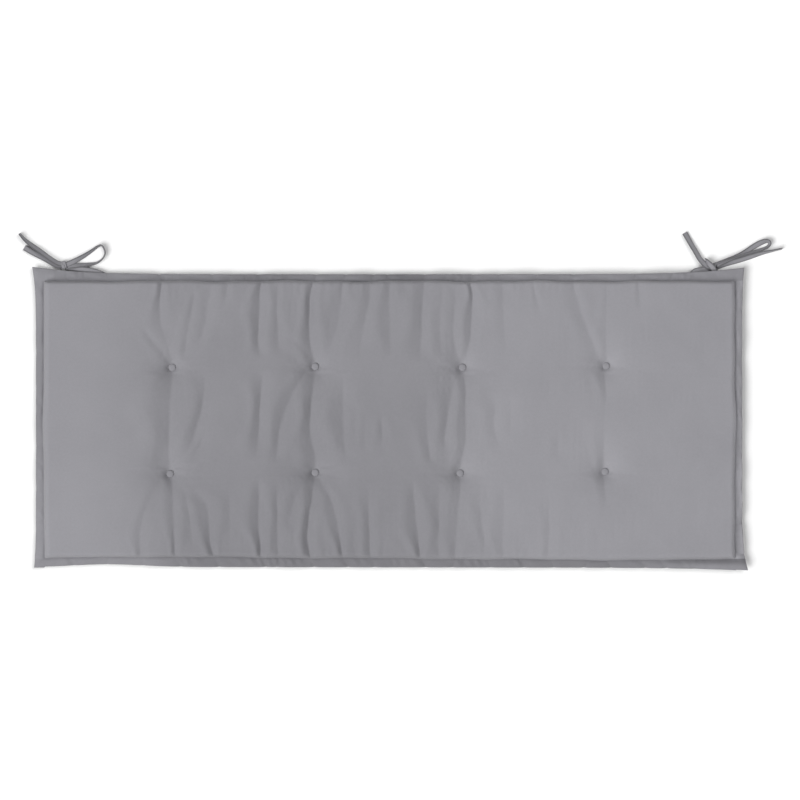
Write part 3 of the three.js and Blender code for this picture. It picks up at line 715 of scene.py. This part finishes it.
def settleCover(setup):
    atX, atY = evenLines(seamX, setup["stepX"]), evenLines(seamY, setup["stepY"])
    x, y = np.meshgrid(atX, atY)
    points = np.stack([x, y, panelTop(x, y)], -1).reshape(-1, 3) * mm
    cover = addShape("settling", points.tolist(), [], gridQuads(*x.shape)[1].tolist())
    held = np.round(setup["loose"] * (1 - gathered(x)), 2)
    held[0] = held[-1] = held[:, 0] = held[:, -1] = 1
    for row in buttonRows:
        held = np.where(np.hypot(x - row["x"], y - row["y"]) < setup["heldRadius"], 1, held)
    group = cover.vertex_groups.new(name="held")
    for weight in np.unique(held[held > 0]):
        group.add(np.nonzero(held.ravel() == weight)[0].tolist(), float(weight), "REPLACE")
    spread = np.concatenate([[0], np.cumsum((gathered(atX[1:]) + gathered(atX[:-1])) / 2 * np.diff(atX))])
    cutPoints = points.copy()
    cutPoints[:, 0] += np.tile(setup["slack"] * (spread - spread[-1] / 2) * mm, len(atY))
    cover.shape_key_add(name="lying")
    cut = cover.shape_key_add(name="cut")
    cut.data.foreach_set("co", cutPoints.ravel())
    cloth = cover.modifiers.new("settle", "CLOTH")
    cloth.collision_settings.use_collision = False
    cloth.point_cache.frame_end = setup["frames"]
    for name, value in setup["fabric"].items():
        setattr(cloth.settings, name, value)
    cloth.settings.vertex_group_mass = "held"
    cloth.settings.rest_shape_key = cut
    cloth.settings.effector_weights.gravity = 0
    for step in range(1, setup["frames"] + 1):
        scene.frame_set(step)
    settled = cover.evaluated_get(bpy.context.evaluated_depsgraph_get()).to_mesh()
    after = np.zeros(points.size)
    settled.vertices.foreach_get("co", after)
    rise = (after.reshape(-1, 3)[:, 2] - points[:, 2]).reshape(x.shape) / mm
    bpy.data.objects.remove(cover)
    scene.frame_set(1)
    rise = setup["cap"] * np.tanh(rise / setup["cap"])
    return atX, atY, rise * (setup["loose"] + (1 - setup["loose"]) * gathered(x))


def cubicWeights(coarse, fine):
    # weights from even coarse places to any fine ones
    spot = np.clip((fine - coarse[0]) / (coarse[1] - coarse[0]), 0, len(coarse) - 1)
    left = np.minimum(spot.astype(int), len(coarse) - 2)
    table = np.zeros((len(fine), len(coarse)))
    for offset, share in zip((-1, 0, 1, 2), splineShares(spot - left).T):
        np.add.at(table, (np.arange(len(fine)), np.clip(left + offset, 0, len(coarse) - 1)), share)
    return table


# from the folded edge of the flange in to the flat face below
underShape = {
    "edge": ((0.55, 0.25), (0.75, 0.6), (0.45, 0.95), (-0.4, 1.05)),  # push in mm, drop in thicknesses
    "inset": 4, "below": 3,  # where the lower panel meets the seam
    "sag": 1.2, "floor": 0.1,
    "rounding": ((2, 0.78), (5, 0.52), (9, 0.3), (15, 0.11), (21, 0.025), (26, 0)),  # inset, share of height
}


def underRings(rim, sideX, sideY, tipX, tipY, shape):
    onX, onY = np.abs(sideX) == 1, np.abs(sideY) == 1
    away = np.stack([np.where(onX, np.sign(sideX), 0), np.where(onY, np.sign(sideY), 0), 0 * sideX], -1)
    rings = [rim + away * push - np.array([0, 0, padShape["rimThick"] * drop]) for push, drop in shape["edge"]]
    halfX, halfY = seamX - shape["inset"], seamY - shape["inset"]
    underX = np.where(onX, np.sign(sideX) * halfX, rim[:, 0] * halfX / tipX)
    underY = np.where(onY, np.sign(sideY) * halfY, rim[:, 1] * halfY / tipY)
    underZ = seamLevel(underX, underY) + padShape["groove"] - shape["below"]
    under = np.stack([underX, underY, underZ], -1)
    rings.append(rings[-1] * 0.5 + under * 0.5 - np.array([0, 0, shape["sag"]]))
    for ring in rings:
        ring[:, 2] = np.maximum(ring[:, 2], shape["floor"])
    rings.append(under)
    for inset, share in shape["rounding"]:
        rings.append(under * np.array([1 - inset / halfX, 1 - inset / halfY, share]))
    return rings


# level of the cover's colour: lighter where white filling is behind the cloth, plus painted light and shade;
# along each side of the flange, then over the panel
flangeFillAndPaintedLight = {
    "front": [(-600, 0.7), (-400, 0.55), (-330, 0), (340, 0), (440, 0.2), (600, 0.1)],
    "back": [(-600, 0.8), (-350, 0.7), (-200, 0.15), (-100, 0.6), (20, 0), (200, 0.55), (340, 0.65),
             (600, 0.55)],
    "left": [(-250, 0.95), (-90, 0.65), (0, 0.4), (80, 0.4), (250, 0.75)],
    "right": [(-250, 1.05), (-120, 1.5), (40, 1), (250, 1.25)],
}
paintedLightShape = {
    "paintedBand": 2.2, "paintedBandRange": (400, 540),  # painted light on the outer half of the front flange at the right, painted shade on its inner half
    "middle": 0.43, "middleBack": 0.1,  # painted shade over the middle, less towards the back
    # painted shade in the hollows round the buttons
    "dimple": 0.05,
    "paintedFrontSeamShade": 0.1, "frontRun": 6,  # painted shade along the front seam, painted light along the right one
    "paintedRightSeamLight": 1.25, "rightRun": 4.5,
    "paintedFrontLeftLight": 0.16,  # painted light at the front left
}
# painted shade on the front-left side of each button and painted light on its back-right side: weights of both,
# by end
paintedButtonLightShape = {"tone": 0.4, "run": 20, "blunt": 4, "left": (1, 0.75), "right": (0.3, 1)}


def paintedButtonLightShare(x, y, shape):
    total = np.zeros_like(x)
    for row in buttonRows:
        acrossX, acrossY = x - row["x"], y - row["y"]
        away = np.hypot(acrossX, acrossY)
        behind = (acrossX + acrossY) / (away + shape["blunt"])
        weights = np.where(behind < 0, *shape["left" if row["x"] < 0 else "right"])
        total += shape["tone"] * np.exp(-away / shape["run"]) * weights * behind
    return total


def fillingAndPaintedLightShare(x, y, shareX, shareY, shape):
    along = {side: np.interp(x if side in ("front", "back") else y, *np.array(rows).T)
             for side, rows in flangeFillAndPaintedLight.items()}
    paintedBand = fadeStep(*shape["paintedBandRange"], x) * (np.clip(-shareY, 0.3, 0.7) - 0.5)
    longFill = np.where(shareY < 0, along["front"] + shape["paintedBand"] * paintedBand, along["back"])
    sideFill = np.where(shareX < 0, along["left"], along["right"])
    # over the panel: painted shade over the middle, painted light and shade round each button, in the hollows
    # and along the seams
    middle = fadeStep(-540, -300, x) * (1 - fadeStep(20, 240, x))
    panel = 1 - (shape["middle"] - shape["middleBack"] * y / seamY) * middle + paintedButtonLightShare(x, y, paintedButtonLightShape)
    panel -= shape["dimple"] * dimpleShare(x, y) + shape["paintedFrontSeamShade"] * np.exp(-(seamY + y) / shape["frontRun"])
    panel += shape["paintedRightSeamLight"] * np.exp(-(seamX - x) / shape["rightRun"])
    panel += shape["paintedFrontLeftLight"] * fadeStep(300, 560, -x) * fadeStep(60, 230, -y)
    return np.where(shareY != 0, longFill, np.where(shareX != 0, sideFill, panel))


def makePad():
    x, y, z, shareX, shareY = coverGrid()
    atX, atY, rise = settleCover(settleSetup)
    onPanel = (shareX == 0) & (shareY == 0)
    z = z + np.where(onPanel, cubicWeights(atY, y[:, 0]) @ rise @ cubicWeights(atX, x[0]).T, 0)
    index, quads = gridQuads(*x.shape)
    points, quads = [np.stack([x, y, z], -1).reshape(-1, 3)], [quads]
    outer = np.concatenate([index[0, :-1], index[:-1, -1], index[-1, :0:-1], index[:0:-1, 0]])
    rim, sideX, sideY = points[0][outer], shareX.ravel()[outer], shareY.ravel()[outer]
    tipX = np.where(rim[:, 0] < 0, np.abs(x[0, 0]), np.abs(x[0, -1]))
    tipY = np.where(rim[:, 1] < 0, np.abs(y[0, 0]), np.abs(y[-1, 0]))
    count = index.size
    for ring in underRings(rim, sideX, sideY, tipX, tipY, underShape):
        inner = np.arange(count, count + len(ring))
        count += len(ring)
        points.append(ring)
        quads.append(np.stack([outer, inner, np.roll(inner, -1), np.roll(outer, -1)], -1))
        outer = inner
    points.append(np.zeros((1, 3)))
    fan = [(int(a), count, int(b)) for a, b in zip(outer, np.roll(outer, -1))]
    faces = np.concatenate(quads).tolist() + fan
    pad = addShape("pad_cover", (np.concatenate(points) * mm).tolist(), [], faces, cloths["coverCloth"])
    fillingAndPaintedLight = np.zeros(count + 1, dtype=np.float32)
    fillingAndPaintedLight[:index.size] = fillingAndPaintedLightShare(x, y, shareX, shareY, paintedLightShape).ravel()
    pad.data.attributes.new("fillingAndPaintedLight", "FLOAT", "POINT").data.foreach_set("value", fillingAndPaintedLight)
    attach(pad, "root")
    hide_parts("pad")
    return pad


pad = makePad()
print("pad made,", len(pad.data.polygons), "faces")


# covered buttons: cloth pulled over a dome and gathered under its edge
buttonShape = {
    "radius": 6.2,
    "base": 17.3,
    "sides": 48,
    "gathers": 24,
    "gatherDepth": 0.012,
    "poles": (0, 0.505),  # in radii, like the profile between them
    "profile": [(0.5, 0), (0.85, 0.01), (0.97, 0.05), (1, 0.11), (0.99, 0.19), (0.95, 0.28), (0.86, 0.36),
                (0.7, 0.43), (0.45, 0.48), (0.2, 0.5)],
}


def tubeWalls(first, rings, sides):
    faces = []
    for start in range(first, first + (rings - 1) * sides, sides):
        for k in range(sides):
            n = (k + 1) % sides
            faces.append((start + k, start + n, start + sides + n, start + sides + k))
    return faces


def makeButton(row, shape):
    sides, rings = shape["sides"], shape["profile"]
    low, high = shape["poles"]
    points = [(0, 0, low)]
    for out, up in rings:
        gather = shape["gatherDepth"] * (1 - fadeStep(0.2, 0.75, up)) * (out > 0.5)
        for k in range(sides):
            turn = 2 * math.pi * k / sides
            radius = out + gather * math.cos(shape["gathers"] * turn)
            points.append((radius * math.cos(turn), radius * math.sin(turn), up))
    points.append((0, 0, high))
    last = len(points) - 1
    faces = tubeWalls(1, len(rings), sides)
    for k in range(sides):
        n = (k + 1) % sides
        faces += [(0, 1 + n, 1 + k), (last - sides + k, last - sides + n, last)]
    points = np.array(points) * shape["radius"] + np.array((row["x"], row["y"], shape["base"]))
    button = addShape(row["node"] + "_dome", (points * mm).tolist(), [], faces, cloths["buttonCloth"])
    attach(button, "root")
    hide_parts(row["node"])


for buttonRow in buttonRows:
    makeButton(buttonRow, buttonShape)
print("buttons made:", len(buttonRows))


# ties: flat sewn strips, rows measured from the knot as (x, y, height, lean in degrees)
tieShape = {
    "wide": 9.8,
    "thick": 1.7,
    "steps": 8,
    "edge": (1, 0),
    "hem": [(0.97, 0.62), (0.9, 0.95), (0.8, 1), (0.7, 0.9), (0.64, 0.62), (0.58, 0.84), (0.3, 0.8)],
    "middle": (0, 0.78),
}
knotShape = {
    "rings": 18, "sides": 32, "height": 6.2, "round": 4.5,
    "rolls": (0.07, 1.6),  # size and count
    "crease": (0.16, 1.2, 1.5, 0.3),  # depth, place, winding, width
    "ripples": (0.04, 5, 4),  # size, count, winding
    "weave": (0.6, 6),  # how the cloth's threads run along and round it
}
tieRows = [
    {"node": "tie_left", "knot": (-550.5, 261), "turn": 15, "band": (5.2, 6.6, 5.2), "cut": (0.01, 0.4),
     "strips": [
        [(0, -1, 3.6, 0), (10, -4.5, 4.2, 0), (28, -7, 5.4, 0), (53, -11.5, 6.9, 0), (70, -18, 7.25, 0)],
        [(-3, 1.2, 8.2, 30), (-12, 4, 8.8, 38), (-26, 13, 8.6, 40), (-40, 23.4, 7.6, 38), (-55, 34, 6.2, 44),
         (-66.5, 43.4, 5.6, 60), (-75, 53, 5.4, 76)],
        [(-4, -2, 3.6, 10), (-14, 0.6, 3.2, 10), (-33, 11.4, 3.2, 12), (-52, 20.8, 3.3, 14),
         (-66.6, 29.4, 3.3, 12)],
        [(4, 0, 7.5, 20), (19, 6.9, 7.6, 32), (34, 15.3, 6.8, 52), (47, 23.7, 5.9, 66), (57.5, 31.4, 5.6, 76),
         (63.3, 33, 5.5, 80), (67.6, 27.5, 5.4, 80), (69.4, 19.3, 5.4, 80), (65.2, 10.6, 5.4, 80),
         (55.5, 3.6, 5.4, 72), (41, 0.6, 5.7, 56), (27, -0.6, 5.8, 42), (7, -2, 5.4, 25)],
    ]},
    {"node": "tie_right", "knot": (544.5, 258.8), "turn": -32, "band": (4.6, 5.2, 4.6), "cut": (0.01, 0.47),
     "strips": [
        [(0, -1, 3.6, 0), (-8, -4, 4.8, 0), (-18, -6, 7, 0), (-28, -7.6, 10.6, 0), (-34, -11, 12.2, 0),
         (-37, -17, 12.6, 0)],
        [(-3, -1, 6.4, 12), (-10, 0.4, 6.6, 18), (-20.6, 9.6, 6.6, 26), (-29.2, 23.8, 6, 30),
         (-38.4, 39.2, 5, 28), (-48, 56.4, 3.6, 22)],
        [(4, -2, 3.4, 24), (20, 3.8, 3.2, 30), (42, 9.8, 3.2, 32), (62, 16, 3.6, 36), (82, 22.2, 4.6, 56),
         (102, 26.6, 5.4, 76), (116, 29.8, 5.5, 82)],
        [(3, 3, 8, 60), (22, 11.6, 8.6, 78), (42, 19.4, 7.6, 70), (56, 26, 6.8, 46), (67, 32.4, 6.4, 24),
         (79, 39.2, 6, 24), (88.6, 42.6, 5.8, 46), (94.2, 41.4, 5.6, 60), (95.2, 37.2, 5.6, 64),
         (90.4, 32, 5.6, 66), (77, 26.8, 6.6, 60), (60, 21.8, 8, 62), (40, 15.4, 8.8, 68), (6, 1, 7.2, 50)],
        [(-13, 11, 6.4, 76), (-9.8, 7.2, 9.4, 52), (-5.4, 2.2, 11.2, 22), (-0.6, -3.4, 11, 6),
         (2.6, -8, 8.4, 0), (3.6, -9.6, 4.6, 0)],
    ]},
]


def tubeFaces(first, rings, sides):
    last = first + (rings - 1) * sides
    caps = [tuple(reversed(range(first, first + sides))), tuple(range(last, last + sides))]
    return tubeWalls(first, rings, sides) + caps


def stripMesh(rows, knot, points, faces, places):
    hem = tieShape["hem"]
    upper = [tieShape["edge"], *hem, tieShape["middle"], *((-a, b) for a, b in reversed(hem))]
    section = upper + [(-a, -b) for a, b in upper]
    line = smoothLine(rows, tieShape["steps"])
    first = len(points)
    travelled = 0
    for s, row in enumerate(line):
        before = line[max(s - 1, 0)]
        tangent = Vector(line[min(s + 1, len(line) - 1)][:3] - before[:3]).normalized()
        level = tangent.cross(Vector((0, 0, 1))).normalized()
        lean = math.radians(row[3])
        across = level * math.cos(lean) + tangent.cross(level) * math.sin(lean)
        through = tangent.cross(across)
        middle = Vector((knot[0] + row[0], knot[1] + row[1], row[2]))
        travelled += (Vector(row[:3]) - Vector(before[:3])).length
        for a, b in section:
            aside = a * tieShape["wide"] / 2
            points.append(middle + across * aside + through * (b * tieShape["thick"] / 2))
            places.append((aside * mm, travelled * mm))
    faces += tubeFaces(first, len(line), len(section))


def knotMesh(row, shape, points, faces, places):
    # a band of cloth pulled tight round the strips and creased
    rings, sides = shape["rings"], shape["sides"]
    first = len(points)
    half, wide, high = row["band"]
    (rollSize, rolls), (deep, at, winding, width) = shape["rolls"], shape["crease"]
    fineSize, fineCount, fineWinding = shape["ripples"]
    cosine, sine = math.cos(math.radians(row["turn"])), math.sin(math.radians(row["turn"]))
    for r in range(1, rings):
        s = -1 + 2 * r / rings
        swell = (1 - abs(s) ** shape["round"]) ** 0.5 * (1 + rollSize * math.cos(2 * math.pi * rolls * s))
        for k in range(sides):
            turned = 2 * math.pi * k / sides
            crease = deep * math.exp(-(math.sin(turned - at - winding * s) / width) ** 2)
            out = swell * (1 - crease - fineSize * math.cos(fineCount * turned - fineWinding * s))
            along, side, up = half * s, wide * out * math.cos(turned), high * out * math.sin(turned)
            points.append(Vector((row["knot"][0] + along * cosine - side * sine,
                                  row["knot"][1] + along * sine + side * cosine, shape["height"] + up)))
            places.append((shape["weave"][0] * along * mm, turned * shape["weave"][1] * mm))
    faces += tubeFaces(first, rings - 1, sides)


def makeTie(row):
    points, faces, places = [], [], []
    for strip in row["strips"]:
        stripMesh(strip, row["knot"], points, faces, places)
    knotMesh(row, knotShape, points, faces, places)
    tie = addShape(row["node"] + "_strip", [tuple(p * mm) for p in points], [], faces, cloths["tieCloth"])
    corners = np.zeros(len(tie.data.loops), dtype=np.int32)
    tie.data.loops.foreach_get("vertex_index", corners)
    layer = tie.data.uv_layers.new(name="alongStrip")
    layer.data.foreach_set("uv", np.array(places, dtype=np.float32)[corners].ravel())
    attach(tie, "root")
    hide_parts(row["node"])


for tieRow in tieRows:
    makeTie(tieRow)
print("ties made:", len(tieRows))


# stitches of the seam, one short thread after another round the panel
stitchShape = {
    "sizes": {"Pitch": 0.0042, "Long": 0.0031, "Thick": 0.0007},
    "bead": {"Segments": 6, "Rings": 5, "Radius": 0.5},
    "uneven": {2: 0.85, 3: 1.08, "Seed": 7},
    "lift": 0.35,
    "linesX": 240, "linesY": 100,
}


def makeStitchTree(shape):
    inputs = {"Geometry": "Geometry", **{name: "Float" for name in shape["sizes"]}, "Thread": "Material"}
    tree, given, out = newTree("stitchLine", "GeometryNodeTree", inputs, {"Geometry": "Geometry"})
    curve = addNode(tree, "GeometryNodeMeshToCurve", {0: given["Geometry"]}).outputs[0]
    spaced = addNode(tree, "GeometryNodeResampleCurve", {"Curve": curve}, mode="LENGTH")
    plug(tree, given["Pitch"], spaced.inputs["Length"])
    tangent = addNode(tree, "GeometryNodeInputTangent").outputs[0]
    turned = addNode(tree, "FunctionNodeAlignRotationToVector", {"Vector": tangent}, axis="X").outputs[0]
    bead = addNode(tree, "GeometryNodeMeshUVSphere", shape["bead"]).outputs["Mesh"]
    size = shade(tree, "CombineXYZ", {0: given["Long"], 1: given["Thick"], 2: given["Thick"]})[0]
    shaped = addNode(tree, "GeometryNodeTransform", {"Geometry": bead, "Scale": size}).outputs[0]
    uneven = addNode(tree, "FunctionNodeRandomValue", shape["uneven"], data_type="FLOAT").outputs[1]
    made = addNode(tree, "GeometryNodeInstanceOnPoints", {"Points": spaced.outputs[0], "Instance": shaped,
                                                          "Rotation": turned, "Scale": uneven})
    for kind in ("GeometryNodeRealizeInstances", "GeometryNodeSetShadeSmooth", "GeometryNodeSetMaterial"):
        made = addNode(tree, kind, {0: made.outputs[0]})
    plug(tree, given["Thread"], made.inputs["Material"])
    plug(tree, made.outputs[0], out[0])
    return tree


def makeStitches(name, points, tree, shape):
    count = len(points)
    edges = [(i, (i + 1) % count) for i in range(count)]
    line = addShape(name + "_line", points.tolist(), edges, [])
    sewing = line.modifiers.new("stitches", "NODES")
    sewing.node_group = tree
    values = {**shape["sizes"], "Thread": threadMaterial}
    for item in tree.interface.items_tree:
        if item.in_out == "INPUT" and item.name in values:
            sewing[item.identifier] = values[item.name]
    made = bpy.data.meshes.new_from_object(line.evaluated_get(bpy.context.evaluated_depsgraph_get()))
    made.name = name
    stitches = addObject(name, made)
    bpy.data.objects.remove(line)
    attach(stitches, "root")
    return stitches


def seamLine(shape):
    across, deep = np.linspace(-seamX, seamX, shape["linesX"]), np.linspace(-seamY, seamY, shape["linesY"])
    endX, endY = np.full(len(deep) - 1, seamX), np.full(len(across) - 1, seamY)
    x = np.concatenate([across[:-1], endX, across[:0:-1], -endX])
    y = np.concatenate([-endY, deep[:-1], endY, deep[:0:-1]])
    onLong, onShort = np.isclose(np.abs(y), seamY), np.isclose(np.abs(x), seamX)
    strayX = np.where(onShort & ~onLong, sideDrift(x, y), 0)
    strayY = np.where(onLong & ~onShort, seamDrift(x, y), 0)
    return np.stack([x + strayX, y + strayY, seamLevel(x, y) + shape["lift"]], -1) * mm


seamStitches = makeStitches("seam_stitches", seamLine(stitchShape), makeStitchTree(stitchShape), stitchShape)
print("stitches made,", len(seamStitches.data.polygons), "faces")
